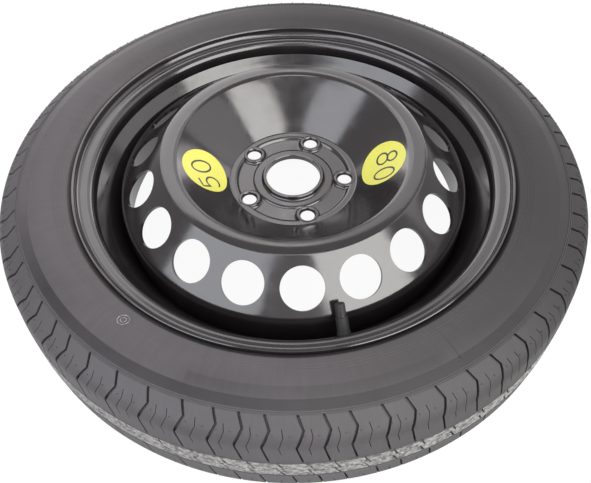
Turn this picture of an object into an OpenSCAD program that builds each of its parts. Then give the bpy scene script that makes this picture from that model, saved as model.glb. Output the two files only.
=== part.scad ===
// Temporary-use spare wheel: a narrow tubeless tyre on a pressed steel wheel with a snap-in valve.
// Origin: centre of the bolt circle on the mounting face. +Z runs along the axle, away from the car.
// Sections are drawn as [radius, height] pairs and turned round Z. Millimetres throughout.

/* [Tyre] */
// Outside diameter over the tread
tyre_d = 633; // [620:1:650]
// Width at the widest point of the sidewalls
tyre_w = 130.6; // [126:0.2:140]
// Width between the two shoulder ribs
shoulder_w = 122; // [116:0.5:124]
// Distance of the shoulder ribs inside the tread's radius
shoulder_drop = 22.5; // [20:0.5:26]
// Radius of the round between tread and shoulder
tread_edge_r = 18; // [10:1:24]
// Width of the flat stretch in the middle of the tread
crown_flat_w = 24; // [10:1:40]
// Drop of the tread from its middle to its edge
crown_drop = 2.2; // [1:0.1:5]
// Distance from the shoulder ribs in to the edge of the tread
tread_edge_in = 13; // [10:0.5:16]
// Width of the flat ring at the widest point of a sidewall, which the wheel lies on
side_flat_w = 12; // [6:1:20]
// Thickness of the sidewall
sidewall_t = 6.5; // [5:0.1:8]
// Thickness under the tread, grooves included
tread_t = 10.5; // [9:0.1:14]
// Clearance between the bead's toe and the safety hump
toe_clearance = 0.3; // [0.1:0.1:1]
// Depth of the grooves that run round the tread
groove_depth = 4.2; // [2:0.1:6]
// Width of the two main grooves
groove_w = 3.2; // [2:0.1:5]
// Distance of the main grooves from the centre line of the tread
groove_offset = 15; // [10:0.5:22]
// Width of the fine groove in the middle
fine_groove_w = 1.2; // [0.6:0.1:2]
// Depth of the fine groove
fine_groove_depth = 1.8; // [1:0.1:3]
// Number of zigzag grooves round each shoulder
pitch_count = 80; // [60:1:90]
// Width of a zigzag groove over the shoulder
zigzag_w = 3; // [2:0.1:4]
// Width of a zigzag groove over the crown
zigzag_crown_w = 2; // [1:0.1:3]
// Depth of a zigzag groove
zigzag_depth = 3.6; // [2:0.1:5]
// Sideways swing of a zigzag groove
zigzag_swing = 4.8; // [3:0.1:6]
// Distance of a groove's knee from the shoulder rib
zigzag_knee = 11.8; // [8:0.1:16]
// Sideways step where a zigzag groove crosses the edge of the tread
zigzag_step = 2.8; // [1:0.1:4]

/* [Rim] */
// Diameter of the bead seats
seat_d = 436.6; // [430:0.1:440]
// Width between the flanges
rim_w = 101.6; // [98:0.1:106]
// Distance of the rim's centre plane behind the mounting face
wheel_offset = 26; // [20:0.5:32]
// Thickness of the rim's sheet
rim_t = 2.6; // [2.2:0.1:3]
// Height of the flanges above the bead seats
flange_h = 17.7; // [15:0.1:20]
// Width of the curled flange outside the bead
flange_curl_w = 12.2; // [11:0.1:14]
// Radius of the curl, on the bead's side
flange_curl_r = 9.8; // [8:0.1:11]
// Radius of the corner between bead seat and flange, on the bead's side
heel_r = 6.5; // [5:0.1:7]
// Slope of the bead seats
seat_slope = 5; // [4:0.5:6]
// Distance of the safety humps from the rim's centre plane
hump_at = 36.4; // [35:0.1:37]
// Height of the safety humps
hump_h = 1.1; // [0.8:0.1:1.6]
// Depth of the well below the bead seats
well_depth = 27.8; // [26:0.1:30]
// Where the outboard step in the rim's side ends, from the centre plane
step_at = 25; // [23:0.5:27]
// Depth of the outboard step's end below the bead seats
step_depth = 15.3; // [13:0.1:17]
// Outboard end of the well, from the centre plane
well_top = 2; // [0:0.5:5]
// Inboard end of the well, from the centre plane
well_bottom = -20; // [-22:0.5:-18]
// Bend radius of the rim's well, at mid thickness
well_bend_r = 7; // [5:0.5:9]

/* [Disc] */
// Thickness of the disc's sheet
disc_t = 3.5; // [3:0.1:4]
// Slope of the inner cone
cone_slope = 39.3; // [37:0.1:41]
// Distance of the circle of vents inside the disc's edge
vent_inset = 24.65; // [22:0.05:27]
// Height of the outboard face at the vents
vent_z = 30; // [27:0.5:33]
// Slope of the outer cone, which holds the vents
vent_slope = 40; // [38:0.5:42]
// Diameter of one vent
vent_d = 43; // [36:0.5:46]
// Number of vents
vent_count = 18; // [12:1:20]
// Angle of the first vent
vent_angle = -7.6; // [-20:0.1:20]
// Height of the two creases at the crest
crest_z = 50.6; // [46:0.1:54]
// Radius on the inside of the sheet's tightest bends, at the creases and the land
inside_bend_r = 0.5; // [0.2:0.1:2]
// Slope of the crest's domed top at its creases
dome_slope = 12; // [4:1:20]
// Radius of the disc's outer bend
outer_bend_r = 12; // [8:0.5:14]
// Height of the lower edge of the disc's rim seat
disc_edge_z = -42; // [-45:0.5:-38]
// Clearance between disc and rim before welding
disc_clearance = 0.05; // [0.02:0.01:0.2]
// Number of weld beads that join disc and rim
weld_count = 6; // [3:1:8]
// Length of one weld bead, as an angle
weld_arc = 32; // [20:1:40]
// Leg length of a weld bead
weld_leg = 3.4; // [2:0.1:4]

/* [Hub] */
// Diameter of the centre bore
bore_d = 60.1; // [56:0.1:64.1]
// Height at which the straight wall of the bore starts
bore_low = 3.9; // [3:0.1:5]
// Height of the collar round the bore
collar_z = 10; // [8:0.5:12]
// Wall of the collar
collar_t = 3.5; // [2.5:0.1:3.5]
// Fillet where the collar leaves the sheet, outboard side
collar_fillet = 3; // [2:0.1:4]
// Outboard height of the raised land round the collar
land_z = 5; // [4.5:0.1:6]
// Outer radius of the raised land
land_r = 43; // [41:0.1:44]
// Width of the step from the land down to the pads
land_edge_w = 2; // [1.5:0.1:3]
// Outer radius of the pads that seat on the hub
pad_out_r = 61; // [60:0.1:63]
// Outboard height of the raised ring outside the pads
ring_z = 6.5; // [5.5:0.1:8]
// Width of the rise from the pads to the ring
ring_rise_w = 2.5; // [1.5:0.1:4]
// Width of the ring, out to the foot of the inner cone
ring_w = 6.84; // [5:0.01:9]
// Diameter of the bolt circle
bolt_circle_d = 114.3; // [112:0.1:118]
// Number of bolts
bolt_count = 5; // [4:1:6]
// Diameter of a bolt hole
bolt_d = 15; // [13:0.1:16]
// Angle of the first bolt hole
bolt_angle = -3.2; // [-36:0.1:36]
// Diameter of the raised seat round a bolt hole
boss_d = 24.5; // [23:0.1:26]
// Outboard height of the seats
boss_z = 7; // [6.5:0.1:8]
// Included angle of the conical seat
seat_cone = 60; // [60:1:90]
// Depth of the conical seat
seat_cone_depth = 2.4; // [1.5:0.1:3]

/* [Valve] */
// Angle of the valve round the wheel
valve_angle = -77.5; // [-90:0.5:-60]
// Diameter of the valve hole in the rim
valve_hole_d = 11.5; // [11.3:0.1:11.7]
// Diameter of the rubber foot inside the tyre
foot_d = 19; // [17:0.1:20]
// Thickness of the rubber foot
foot_t = 4.4; // [3:0.1:5]
// Diameter of the rubber collar outside the rim
rubber_collar_d = 15; // [14:0.1:15.4]
// Diameter of the rubber body below the thread
rubber_top_d = 11.6; // [11:0.1:12]
// Height of the rubber body above the rim
rubber_h = 20.4; // [18:0.1:22]
// Diameter of the thread that holds the cap
stem_d = 7.75; // [7.6:0.05:7.9]
// Height of the stem's mouth above the rim
stem_top = 31.5; // [30:0.1:33]
// Diameter of the air way through the stem
air_way_d = 3.2; // [2.8:0.1:3.4]
// Diameter of the chamber that holds the core
core_bore_d = 4.4; // [4.2:0.1:4.6]
// Diameter of the core's thread in the stem
core_thread_d = 5.2; // [5.1:0.05:5.4]
// Outside diameter of the cap
cap_d = 10; // [9.6:0.1:11]
// Height of the cap
cap_h = 12.9; // [12:0.1:14]
// Diameter of the pin of the core
pin_d = 0.9; // [0.8:0.05:1]
// Clearance between the stem's thread and the cap, in radius
cap_clearance = 0.08; // [0.05:0.01:0.1]

/* [Stickers] */
// Diameter of a sticker
sticker_d = 57; // [50:1:60]
// Thickness of a sticker
sticker_t = 0.2; // [0.1:0.05:0.3]
// Distance of the sticker with the number eighty outside the middle of the inner cone
sticker_80_out = 1.02; // [-2:0.05:2]
// Angle of the sticker with the number eighty
sticker_80_angle = -2.8; // [-10:0.1:10]
// Distance of the sticker with the number fifty outside the middle of the inner cone
sticker_50_out = -1.28; // [-2:0.05:2]
// Angle of the sticker with the number fifty
sticker_50_angle = 185.9; // [175:0.1:195]

/* [Hidden] */

$fn = 180;
small_fn = 48;
// Degrees of turn that one straight facet of a rounded section covers
arc_step = 9;
// Clearance between parts that are moulded, pressed or seated on each other
seat_gap = 0.05;
// Length by which a cut runs past the surface it starts from
over = 1;

function unit(v) = v / norm(v);
function left_of(v) = [-v[1], v[0]];
function turned(v, a) = [v[0] * cos(a) - v[1] * sin(a), v[0] * sin(a) + v[1] * cos(a)];
function on(p) = [p[0], p[1]];

// One rounded corner of a path, as pairs of point and left normal
function corner(before, at, after) =
    let (
        into = unit(on(at) - on(before)),
        out = unit(on(after) - on(at)),
        turn = atan2(into[0] * out[1] - into[1] * out[0], into * out),
        r = at[2],
        side = sign(turn),
        start = on(at) - into * r * tan(abs(turn) / 2),
        centre = start + side * r * left_of(into),
        n = max(1, ceil(abs(turn) / arc_step))
    )
    r == 0 || turn == 0
        ? [[on(at), unit(left_of(into + out))]]
        : [for (i = [0:n]) let (m = turned(left_of(into), turn * i / n)) [centre - side * r * m, m]];

// Path through points [r, z, radius of the corner], rounded at each inner point
function rounded(p) =
    let (last = len(p) - 1)
    concat(
        [[on(p[0]), left_of(unit(on(p[1]) - on(p[0])))]],
        [for (i = [1:last - 1]) each corner(p[i - 1], p[i], p[i + 1])],
        [[on(p[last]), left_of(unit(on(p[last]) - on(p[last - 1])))]]
    );

function shifted(path, d) = [for (q = path) q[0] + d * q[1]];
function reversed(list) = [for (i = [len(list) - 1:-1:0]) list[i]];

// Section of bent sheet: the path moved by a to its left, and back along the path moved by b
module sheet_section(path, a, b) {
    polygon(concat(shifted(path, a), reversed(shifted(path, b))));
}

// Rim
rim_z = -wheel_offset;
half_rim = rim_w / 2;
seat_r = seat_d / 2;
lip_r = seat_r + flange_h;
lip_at = half_rim + flange_curl_w;
mid = rim_t / 2;
hump_slope_w = 3;
seat_end = hump_at + hump_slope_w;
seat_end_r = seat_r - mid - (half_rim - seat_end) * tan(seat_slope);
hump_r = seat_end_r + hump_h;
well_r = seat_r - well_depth;
well_mid_r = well_r + mid;
step_mid_r = seat_r - step_depth + mid;
step_bend_r = 5;
hump_bend_r = 2.5;
hump_foot_r = 2;

// The rim's sheet at mid thickness, from one lip to the bead seat's end
function flange_points(s) = [
    [lip_r - mid, s * lip_at],
    [lip_r - mid, s * (half_rim + mid), flange_curl_r - mid],
    [seat_r - mid, s * (half_rim + mid), heel_r + mid],
    [seat_end_r, s * seat_end, hump_foot_r],
    [hump_r, s * hump_at, hump_bend_r]
];
rim_points = concat(
    flange_points(1),
    [
        [step_mid_r, step_at, step_bend_r],
        [well_mid_r, well_top, well_bend_r],
        [well_mid_r, well_bottom, well_bend_r]
    ],
    reversed(flange_points(-1))
);
rim_path = rounded(rim_points);

// Valve: its own axis stands square on the outboard step of the rim
step_top = [hump_r, hump_at];
step_end = [step_mid_r, step_at];
step_dir = unit(step_end - step_top);
step_face = left_of(step_dir) * -1;
valve_tilt = atan2(-step_face[0], step_face[1]);
// The valve stands a little below the middle of the step
valve_shift = 0.8;
valve_at = (step_top + step_end) / 2 + step_dir * valve_shift + step_face * mid;

// Tyre
tyre_r = tyre_d / 2;
half_tyre = tyre_w / 2;
bead_gap = 0.1;
wide_r = (seat_r + tyre_r) / 2;
bead_in_r = seat_end_r + mid + bead_gap;
toe_at = seat_end + toe_clearance;
toe_h = 1;
curl_exit = flange_curl_r + bead_gap;
curl_corner_r = lip_r - flange_curl_r + curl_exit * tan(45 / 2);
// Where the sidewall leaves the flange: radius beyond the lip, and width beyond the rim's
sidewall_start = [lip_r + 4.6, half_rim + 9.9];
sidewall_foot_r = 1.5;
sidewall_bend_r = 50;
rib_bend_r = 3;
crown_bend_r = 200;
tread_edge_at = shoulder_w / 2 - tread_edge_in;

function bead_points(s) = [
    [bead_in_r, s * toe_at],
    [seat_r + bead_gap, s * (half_rim - bead_gap), heel_r],
    [curl_corner_r, s * (half_rim - bead_gap), curl_exit],
    [sidewall_start[0], s * sidewall_start[1], sidewall_foot_r],
    [wide_r - side_flat_w / 2, s * half_tyre, sidewall_bend_r],
    [wide_r + side_flat_w / 2, s * half_tyre, sidewall_bend_r],
    [tyre_r - shoulder_drop, s * shoulder_w / 2, rib_bend_r],
    [tyre_r - crown_drop, s * tread_edge_at, tread_edge_r],
    [tyre_r, s * crown_flat_w / 2, crown_bend_r]
];
tyre_outside = rounded(concat(bead_points(1), reversed(bead_points(-1))));

// Inside of the tyre: how far it stands in from the outside at bead and sidewall, and its bends
liner_bead_in = [4, 2];
liner_wide_in = 4;
liner_bead_r = 12;
liner_side_r = 30;
liner_edge_r = 22;

function liner_points(s) = [
    [bead_in_r + toe_h, s * toe_at],
    [lip_r - liner_bead_in[0], s * (toe_at + liner_bead_in[1]), liner_bead_r],
    [wide_r - liner_wide_in, s * (half_tyre - sidewall_t), liner_side_r],
    [tyre_r - tread_t - crown_drop, s * tread_edge_at, liner_edge_r]
];
tyre_inside = rounded(concat(liner_points(1), reversed(liner_points(-1))));

// Disc
cone_rise = tan(cone_slope);
vent_fall = tan(vent_slope);
disc_r = well_r - disc_clearance;
vent_ring_r = disc_r - vent_inset;
outer_corner_z = vent_z - vent_inset * vent_fall;
pad_in_r = land_r + land_edge_w;
cone_foot_r = pad_out_r + ring_rise_w + ring_w;
// The crest's domed top lies between a crease on each cone
crease_in_r = cone_foot_r + (crest_z - ring_z) / cone_rise;
crease_out_r = vent_ring_r + (vent_z - crest_z) / vent_fall;
half_dome = (crease_out_r - crease_in_r) / 2;
dome_top = [crease_in_r + half_dome, crest_z + half_dome * tan(dome_slope)];
tight_bend_r = disc_t + inside_bend_r;
crease_reach = tight_bend_r * tan((vent_slope - dome_slope) / 2);
dome_r = (half_dome / cos(dome_slope) - crease_reach) / tan(dome_slope);
// The middle of the inner cone
cone_mid_r = (cone_foot_r + crease_in_r) / 2;
step_bend = 1.5;
ring_bend_r = 4.2;
cone_foot_bend_r = 3;
bore_r = bore_d / 2;
collar_r = bore_r + collar_t;
boss_lift = 1.2;
// Draft of a bolt seat, as diameter below and above, and of the hollow under it
boss_draft = [2, -1];
hollow_draft = [-2, -6];

// The disc's outboard face, from the top of the collar to the edge in the rim's well
disc_path = rounded([
    [collar_r, collar_z],
    [collar_r, land_z, collar_fillet],
    [land_r, land_z, tight_bend_r],
    [pad_in_r, disc_t, step_bend],
    [pad_out_r, disc_t, step_bend],
    [pad_out_r + ring_rise_w, ring_z, ring_bend_r],
    [cone_foot_r, ring_z, cone_foot_bend_r],
    [crease_in_r, crest_z, tight_bend_r],
    [dome_top[0], dome_top[1], dome_r],
    [crease_out_r, crest_z, tight_bend_r],
    [disc_r, outer_corner_z, outer_bend_r],
    [disc_r, disc_edge_z]
]);

// Places on the bolt circle, round the vents, and on a point of the outboard face
module round_bolts() {
    for (i = [0:bolt_count - 1])
        rotate(bolt_angle + 360 * i / bolt_count)
            translate([bolt_circle_d / 2, 0, 0])
                children();
}

module round_vents() {
    for (i = [0:vent_count - 1])
        rotate(vent_angle + 360 * i / vent_count)
            translate([vent_ring_r, 0, vent_z])
                rotate([0, vent_slope, 0])
                    children();
}

module on_inner_cone(r, angle) {
    rotate(angle)
        translate([r, 0, ring_z + (r - cone_foot_r) * cone_rise])
            rotate([0, -cone_slope, 0])
                children();
}

module on_valve_axis() {
    rotate(valve_angle)
        translate([valve_at[0], 0, rim_z + valve_at[1]])
            rotate([0, -valve_tilt, 0])
                children();
}

// A turned piece, from [radius, height] points along the valve's axis
module turned_piece(points) {
    rotate_extrude($fn = small_fn)
        polygon(points);
}

module groove_ring(at, w, depth) {
    rotate_extrude()
        translate([tyre_r - depth, at - w / 2])
            square([depth + over, w]);
}

// A zigzag groove runs straight from the shoulder rib to the tread's edge, as [radius, width]
rib_at = [tyre_r - shoulder_drop, shoulder_w / 2];
edge_round = [0.4, 4.4];
crown_end = [tyre_r - crown_drop - edge_round[0], tread_edge_at - edge_round[1]];
// Height of the shoulder's bulge over that straight way, and of a groove's cutter
shoulder_bulge = 1.2;
cutter_h = 12;

// Groove from the shoulder rib over the shoulder's bulge to the edge of the tread
module over_shoulder() {
    chord = crown_end - rib_at;
    long = norm(chord);
    half = zigzag_w / 2;
    translate([rib_at[0], 0, rib_at[1]])
        rotate([0, atan2(-chord[1], chord[0]), 0])
            translate([0, 0, shoulder_bulge - zigzag_depth])
                linear_extrude(height = cutter_h)
                    polygon([
                        [-over, -half],
                        [zigzag_knee, zigzag_swing - half],
                        [long, -half],
                        [long, half],
                        [zigzag_knee, zigzag_swing + half],
                        [-over, half]
                    ]);
}

// Groove that goes on over the crown, stepped sideways, to the main groove
module over_crown() {
    half = zigzag_crown_w / 2;
    translate([tyre_r - crown_drop - zigzag_depth, 0, 0])
        rotate([0, 90, 0])
            linear_extrude(height = cutter_h)
                polygon([
                    [-crown_end[1] - over, -zigzag_step - half],
                    [-groove_offset, zigzag_swing - half],
                    [-groove_offset, zigzag_swing + half],
                    [-crown_end[1] - over, -zigzag_step + half]
                ]);
}

module tread_pattern() {
    for (i = [0:pitch_count - 1])
        for (turn = [0, 180])
            rotate(360 * i / pitch_count)
                rotate([turn, 0, 0]) {
                    over_shoulder();
                    over_crown();
                }
}

module tyre() {
    color([0.16, 0.16, 0.16])
        translate([0, 0, rim_z])
            difference() {
                rotate_extrude()
                    polygon(concat(shifted(tyre_outside, 0), reversed(shifted(tyre_inside, 0))));
                for (side = [-1, 1])
                    groove_ring(side * groove_offset, groove_w, groove_depth);
                groove_ring(0, fine_groove_w, fine_groove_depth);
                tread_pattern();
            }
}

module rim() {
    color([0.06, 0.06, 0.07])
        difference() {
            translate([0, 0, rim_z])
                rotate_extrude()
                    sheet_section(rim_path, mid, -mid);
            on_valve_axis()
                cylinder(h = 4 * rim_t, d = valve_hole_d, center = true);
        }
}

// The corner under the collar, which is filled so that the bore's wall is straight
module bore_wall() {
    sheet_low = land_z - disc_t;
    rotate_extrude()
        polygon([
            [bore_r, bore_low],
            [bore_r + bore_low - sheet_low, sheet_low],
            [collar_r + collar_fillet, sheet_low],
            [collar_r + collar_fillet, land_z - 1],
            [collar_r - 1, collar_z - 1],
            [bore_r, collar_z - 1]
        ]);
}

// Raised seat for one bolt, with the sheet's underside raised by as much
module bolt_boss() {
    translate([0, 0, boss_lift])
        cylinder(h = boss_z - boss_lift, d1 = boss_d + boss_draft[0], d2 = boss_d + boss_draft[1]);
}

module bolt_cut() {
    underside = boss_z - disc_t;
    seat_low = boss_z - seat_cone_depth;
    seat_top_r = bolt_d / 2 + (seat_cone_depth + over) * tan(seat_cone / 2);
    translate([0, 0, -over])
        cylinder(h = boss_z + 2 * over, d = bolt_d);
    translate([0, 0, seat_low])
        cylinder(h = seat_cone_depth + over, r1 = bolt_d / 2, r2 = seat_top_r);
    translate([0, 0, -over])
        cylinder(h = underside + over, d1 = boss_d + hollow_draft[0], d2 = boss_d + hollow_draft[1]);
}

module disc() {
    color([0.05, 0.05, 0.06])
        difference() {
            union() {
                rotate_extrude()
                    sheet_section(disc_path, 0, -disc_t);
                bore_wall();
                round_bolts()
                    bolt_boss();
            }
            round_bolts()
                bolt_cut();
            round_vents()
                cylinder(h = 8 * disc_t, d = vent_d, center = true);
        }
}

// Share of a weld's leg length to which its face bulges
weld_belly = 0.7;

module disc_welds() {
    color([0.1, 0.1, 0.1])
        for (i = [0:weld_count - 1])
            rotate(360 * i / weld_count)
                rotate_extrude(angle = weld_arc)
                    polygon([
                        [disc_r, disc_edge_z - seat_gap],
                        [disc_r, disc_edge_z - weld_leg],
                        [disc_r - weld_leg * weld_belly, disc_edge_z - weld_leg * weld_belly],
                        [disc_r - weld_leg, disc_edge_z - seat_gap]
                    ]);
}

// Snap-in valve. Heights run along its own axis, from the rim's face outwards.
hole_r = valve_hole_d / 2 - seat_gap;
stem_r = stem_d / 2;
stem_low = -rim_t - foot_t + over;
// Small turned or moulded edge, and clearance of rubber that is bonded to metal
edge = 0.5;
bond_gap = 0.02;
rubber_neck = [rubber_top_d / 2 + 0.3, 7];
collar_top = 2.6;
collar_h = 1.8;
collar_under = 0.3;
foot_bore_r = air_way_d / 2 + 0.8;
plug_h = 4;
plug_top = stem_top - 0.9;
plug_low = plug_top - plug_h;
barrel_h = 6;
barrel_top = plug_low - seat_gap;
barrel_low = barrel_top - barrel_h;
barrel_r = 1.9;
barrel_bore_r = 1.35;
barrel_floor = 0.8;
pin_r = pin_d / 2;
pin_hole_r = pin_r + 0.2;
pin_top = stem_top - 0.4;
pin_collar_r = 1.1;
pin_collar_top = barrel_top - 0.4;
pin_collar_h = 0.5;
pin_edge = 0.2;
pin_tail = 0.6;
seal_h = 0.6;
cup_h = 1.5;
cup_top = barrel_low - bond_gap - seal_h;
cup_low = cup_top - cup_h;
cup_r = 1.6;
cup_edge = [0.4, 0.5];
thread_low = plug_low - 0.6;
chamber_r = core_bore_d / 2;
chamber_step = 0.2;
chamber_top = barrel_low + 2.2;
chamber_low = cup_low - 3;
gasket_span = [2.5, 4.2, 4.4];
cap_low = rubber_h + 0.15;
cap_top = cap_low + cap_h;
cap_edge = 0.8;
washer_h = 0.9;
washer_low = stem_top + seat_gap;
cap_roof = washer_low + washer_h + seat_gap;

module valve_rubber() {
    color([0.1, 0.1, 0.1])
        on_valve_axis()
            turned_piece([
                [stem_r + bond_gap, rubber_h],
                [rubber_top_d / 2 - edge, rubber_h],
                [rubber_top_d / 2, rubber_h - edge],
                rubber_neck,
                [rubber_collar_d / 2 - edge, collar_top],
                [rubber_collar_d / 2, collar_h],
                [rubber_collar_d / 2 - collar_under, 3 * seat_gap],
                [hole_r, 3 * seat_gap],
                [hole_r, -rim_t - seat_gap],
                [foot_d / 2, -rim_t - 3 * seat_gap],
                [foot_d / 2, -rim_t - foot_t + 2 * edge],
                [foot_d / 2 - 2 * edge, -rim_t - foot_t],
                [foot_bore_r, -rim_t - foot_t],
                [foot_bore_r, stem_low - seat_gap],
                [stem_r + bond_gap, stem_low - seat_gap]
            ]);
}

module valve_stem() {
    color([0.72, 0.58, 0.3])
        on_valve_axis()
            turned_piece([
                [air_way_d / 2, stem_low],
                [stem_r, stem_low],
                [stem_r, stem_top - edge],
                [stem_r - edge, stem_top],
                [core_thread_d / 2, stem_top],
                [core_thread_d / 2, thread_low],
                [chamber_r, thread_low - edge],
                [chamber_r, chamber_top],
                [chamber_r - chamber_step, chamber_top - edge],
                [chamber_r - chamber_step, chamber_low],
                [air_way_d / 2, chamber_low - edge]
            ]);
}

// Threaded plug that screws the core into the stem, with two flats for the key
module core_plug() {
    flat_w = 1.7;
    flat_h = 3;
    flat_cut = 4;
    color([0.8, 0.68, 0.4])
        on_valve_axis()
            difference() {
                translate([0, 0, plug_low])
                    cylinder(h = plug_h, r = core_thread_d / 2 - seat_gap, $fn = small_fn);
                translate([0, 0, plug_low - over])
                    cylinder(h = plug_h + 2 * over, r = pin_hole_r, $fn = small_fn);
                for (side = [-1, 1])
                    translate([side * (flat_w + flat_cut) / 2, 0, plug_top - edge])
                        cube([flat_cut, core_thread_d + over, flat_h], center = true);
            }
}

module core_barrel() {
    color([0.8, 0.68, 0.4])
        on_valve_axis()
            turned_piece([
                [pin_hole_r, barrel_low],
                [barrel_r - pin_edge, barrel_low],
                [barrel_r, barrel_low + edge],
                [barrel_r, barrel_top],
                [barrel_bore_r, barrel_top],
                [barrel_bore_r, barrel_low + barrel_floor],
                [pin_hole_r, barrel_low + barrel_floor]
            ]);
}

// Sealing sleeve between the barrel and the stem's inner cone
module core_gasket() {
    color([0.7, 0.12, 0.1])
        on_valve_axis()
            turned_piece([
                [barrel_r + bond_gap, barrel_low + gasket_span[0]],
                [chamber_r - bond_gap, barrel_low + gasket_span[0]],
                [chamber_r - bond_gap, barrel_low + gasket_span[1]],
                [barrel_r + bond_gap, barrel_low + gasket_span[2]]
            ]);
}

// Coil spring round the pin, inside the barrel
spring_wire_r = 0.14;
spring_r = 0.95;
spring_turns = 8;
spring_low = barrel_low + barrel_floor + spring_wire_r + bond_gap;
spring_high = pin_collar_top - pin_collar_h - spring_wire_r - bond_gap;
spring_steps = 12;
spring_sides = 6;

function spring_point(i, j) =
    let (
        a = 360 * i / spring_steps,
        b = 360 * j / spring_sides,
        z = spring_low + (spring_high - spring_low) * i / (spring_turns * spring_steps),
        r = spring_r + spring_wire_r * cos(b)
    )
    [r * cos(a), r * sin(a), z + spring_wire_r * sin(b)];

module core_spring() {
    rings = spring_turns * spring_steps;
    n = spring_sides;
    points = [for (i = [0:rings]) for (j = [0:n - 1]) spring_point(i, j)];
    sides = [
        for (i = [0:rings - 1])
            for (j = [0:n - 1])
                [i * n + j, (i + 1) * n + j, (i + 1) * n + (j + 1) % n, i * n + (j + 1) % n]
    ];
    ends = [[for (j = [0:n - 1]) j], [for (j = [n - 1:-1:0]) rings * n + j]];
    color([0.75, 0.75, 0.78])
        on_valve_axis()
            polyhedron(points, concat(sides, ends));
}

module core_pin() {
    color([0.8, 0.68, 0.4])
        on_valve_axis()
            turned_piece([
                [0, cup_low - pin_tail],
                [pin_r, cup_low - pin_tail],
                [pin_r, pin_collar_top - pin_collar_h],
                [pin_collar_r, pin_collar_top - pin_collar_h],
                [pin_collar_r, pin_collar_top],
                [pin_r, pin_collar_top],
                [pin_r, pin_top - pin_edge],
                [pin_r - pin_edge, pin_top],
                [0, pin_top]
            ]);
}

module core_cup() {
    color([0.8, 0.68, 0.4])
        on_valve_axis()
            turned_piece([
                [pin_r + bond_gap, cup_low],
                [cup_r - cup_edge[0], cup_low],
                [cup_r, cup_low + cup_edge[1]],
                [cup_r, cup_top],
                [pin_r + bond_gap, cup_top]
            ]);
}

module core_cup_seal() {
    color([0.12, 0.12, 0.12])
        on_valve_axis()
            turned_piece([
                [pin_r + bond_gap, cup_top + bond_gap],
                [cup_r - pin_edge, cup_top + bond_gap],
                [cup_r - pin_edge, cup_top + seal_h],
                [pin_r + bond_gap, cup_top + seal_h]
            ]);
}

module valve_cap() {
    cap_bore_r = stem_r + cap_clearance;
    grips = 18;
    grip_r = 0.5;
    grip_depth = 0.25;
    grip_low = 1.6;
    color([0.12, 0.12, 0.13])
        on_valve_axis()
            difference() {
                turned_piece([
                    [cap_bore_r, cap_low],
                    [cap_d / 2, cap_low],
                    [cap_d / 2, cap_top - cap_edge],
                    [cap_d / 2 - cap_edge, cap_top],
                    [0, cap_top],
                    [0, cap_roof],
                    [cap_bore_r, cap_roof]
                ]);
                for (i = [0:grips - 1])
                    rotate(360 * i / grips)
                        translate([cap_d / 2 + grip_r - grip_depth, 0, cap_low + grip_low])
                            cylinder(h = cap_h, r = grip_r, $fn = small_fn / 3);
            }
}

module cap_washer() {
    color([0.15, 0.15, 0.15])
        on_valve_axis()
            translate([0, 0, washer_low])
                cylinder(h = washer_h, r = stem_r - 2 * seat_gap, $fn = small_fn);
}

// A thin disc that lies on the inner cone, with the film just clear of the paint
film_gap = 0.01;

module sticker(r, angle) {
    face = [[cone_foot_r, ring_z], [crease_in_r, crest_z]];
    intersection() {
        rotate_extrude()
            sheet_section(rounded(face), sticker_t, film_gap);
        on_inner_cone(r, angle)
            cylinder(h = sticker_d, d = sticker_d, center = true, $fn = small_fn);
    }
}

module sticker_80() {
    color([0.93, 0.93, 0.25])
        sticker(cone_mid_r + sticker_80_out, sticker_80_angle);
}

module sticker_50() {
    color([0.93, 0.93, 0.25])
        sticker(cone_mid_r + sticker_50_out, sticker_50_angle);
}

tyre();
rim();
disc();
disc_welds();
valve_rubber();
valve_stem();
core_plug();
core_barrel();
core_gasket();
core_spring();
core_pin();
core_cup();
core_cup_seal();
valve_cap();
cap_washer();
sticker_80();
sticker_50();
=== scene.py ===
"""A narrow temporary-use spare wheel, lying flat: rim, disc, tyre, valve and stickers, as they go together.

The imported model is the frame: +Z runs along the axle, away from the car, and the origin is the centre of
the bolt circle on the mounting face. Sizes are written in millimetres and turned into metres by mm.
"""

import math

import bmesh
import bpy
from mathutils import Matrix, Vector


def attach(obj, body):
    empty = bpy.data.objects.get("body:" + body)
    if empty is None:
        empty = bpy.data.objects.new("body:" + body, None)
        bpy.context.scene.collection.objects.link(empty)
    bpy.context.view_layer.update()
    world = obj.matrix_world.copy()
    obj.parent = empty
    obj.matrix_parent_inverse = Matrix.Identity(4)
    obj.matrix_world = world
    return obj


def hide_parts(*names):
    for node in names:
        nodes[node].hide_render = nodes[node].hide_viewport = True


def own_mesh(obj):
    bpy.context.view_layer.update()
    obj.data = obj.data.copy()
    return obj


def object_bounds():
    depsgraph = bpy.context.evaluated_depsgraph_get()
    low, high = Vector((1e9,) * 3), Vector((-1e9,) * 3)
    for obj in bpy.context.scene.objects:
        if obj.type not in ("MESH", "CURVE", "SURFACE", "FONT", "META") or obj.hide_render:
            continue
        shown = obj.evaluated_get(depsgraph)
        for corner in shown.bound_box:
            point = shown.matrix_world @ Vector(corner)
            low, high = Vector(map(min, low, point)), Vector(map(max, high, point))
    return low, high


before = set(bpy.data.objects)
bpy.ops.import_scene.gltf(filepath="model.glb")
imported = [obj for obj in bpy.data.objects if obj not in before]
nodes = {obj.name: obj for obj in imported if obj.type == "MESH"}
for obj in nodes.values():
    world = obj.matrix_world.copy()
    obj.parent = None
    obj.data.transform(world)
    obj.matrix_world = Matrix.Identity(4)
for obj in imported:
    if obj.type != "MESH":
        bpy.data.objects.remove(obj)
cad_box = [list(corner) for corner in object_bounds()]


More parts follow.
